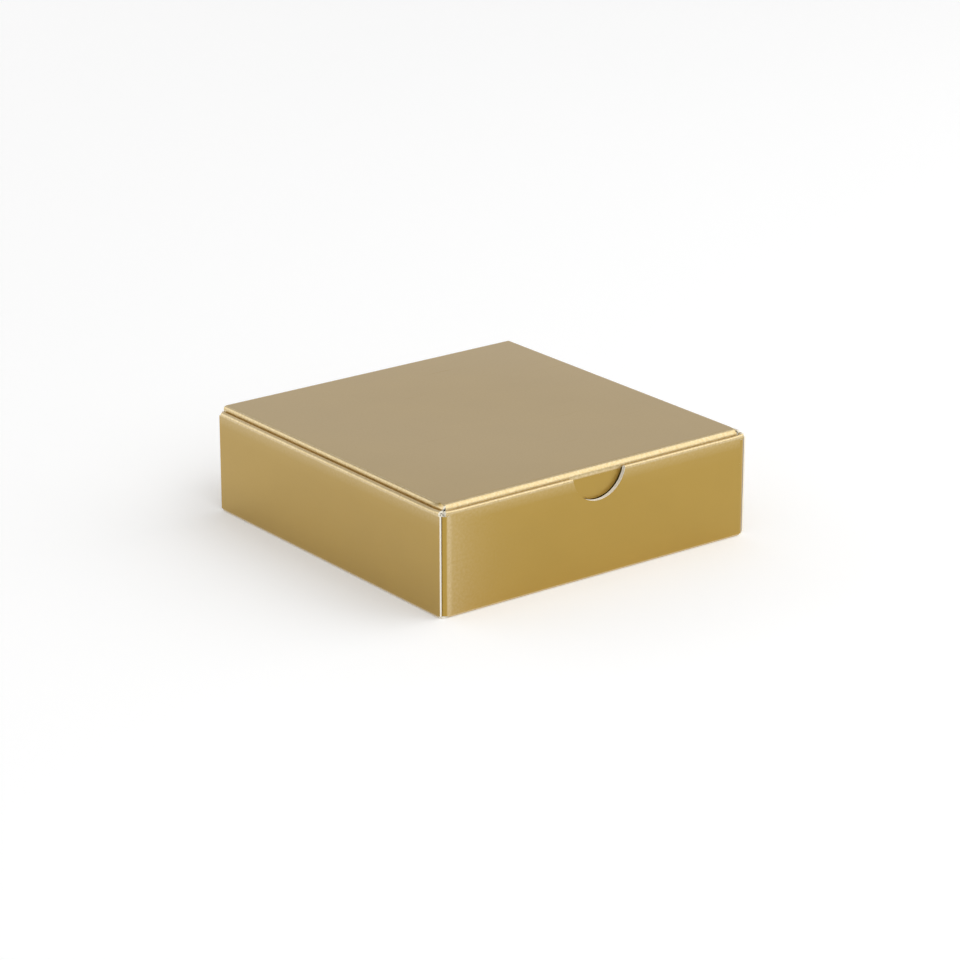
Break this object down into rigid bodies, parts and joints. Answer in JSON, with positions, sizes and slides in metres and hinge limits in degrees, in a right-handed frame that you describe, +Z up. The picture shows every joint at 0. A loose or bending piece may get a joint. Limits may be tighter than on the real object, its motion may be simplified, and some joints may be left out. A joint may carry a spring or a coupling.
{
  "type": "favor box",
  "caption": "Square folding favor box in gold foil board with rolled-over walls, a hinged tuck-in lid with side flaps, and a half-round thumb notch in the front wall.",
  "frame": {"origin": "middle of the footprint, on the surface the box stands on", "axes": "+Z up through the lid; -Y is the front with the thumb notch; +Y is the back with the lid's hinge crease; -X is the left side wall"},
  "size_m": [0.092, 0.092, 0.0269],
  "materials": {
    "gold_foil_board": "satin",
    "white_board": "matte"
  },
  "bodies": {
    "tray": {"bottom_panel": "white_board", "front_outer_wall": "gold_foil_board", "front_rolled_edge": "gold_foil_board", "front_inner_wall": "gold_foil_board", "back_wall": "gold_foil_board", "front_left_corner_flap": "gold_foil_board", "front_right_corner_flap": "gold_foil_board", "back_left_corner_flap": "gold_foil_board", "back_right_corner_flap": "gold_foil_board", "left_outer_wall": "gold_foil_board", "left_rolled_edge": "gold_foil_board", "left_inner_wall": "gold_foil_board", "right_outer_wall": "gold_foil_board", "right_rolled_edge": "gold_foil_board", "right_inner_wall": "gold_foil_board"},
    "lid": {"lid_panel": "gold_foil_board"},
    "tuck_flap": {"lid_tuck_flap": "gold_foil_board"},
    "left_flap": {"lid_left_flap": "gold_foil_board"},
    "right_flap": {"lid_right_flap": "gold_foil_board"}
  },
  "joints": [
    {"name": "lid_hinge", "type": "hinge", "parent": "tray", "child": "lid", "pos_m": [0, 0.0454, 0.02635], "axis": [-1, 0, 0], "range_deg": [0, 180]},
    {"name": "tuck_flap_fold", "type": "hinge", "parent": "lid", "child": "tuck_flap", "pos_m": [0, -0.04327, 0.02545], "axis": [1, 0, 0], "range_deg": [0, 80]},
    {"name": "left_flap_fold", "type": "hinge", "parent": "lid", "child": "left_flap", "pos_m": [-0.0438, 0, 0.02615], "axis": [0, -1, 0], "range_deg": [0, 70]},
    {"name": "right_flap_fold", "type": "hinge", "parent": "lid", "child": "right_flap", "pos_m": [0.0438, 0, 0.02615], "axis": [0, 1, 0], "range_deg": [0, 70]}
  ]
}
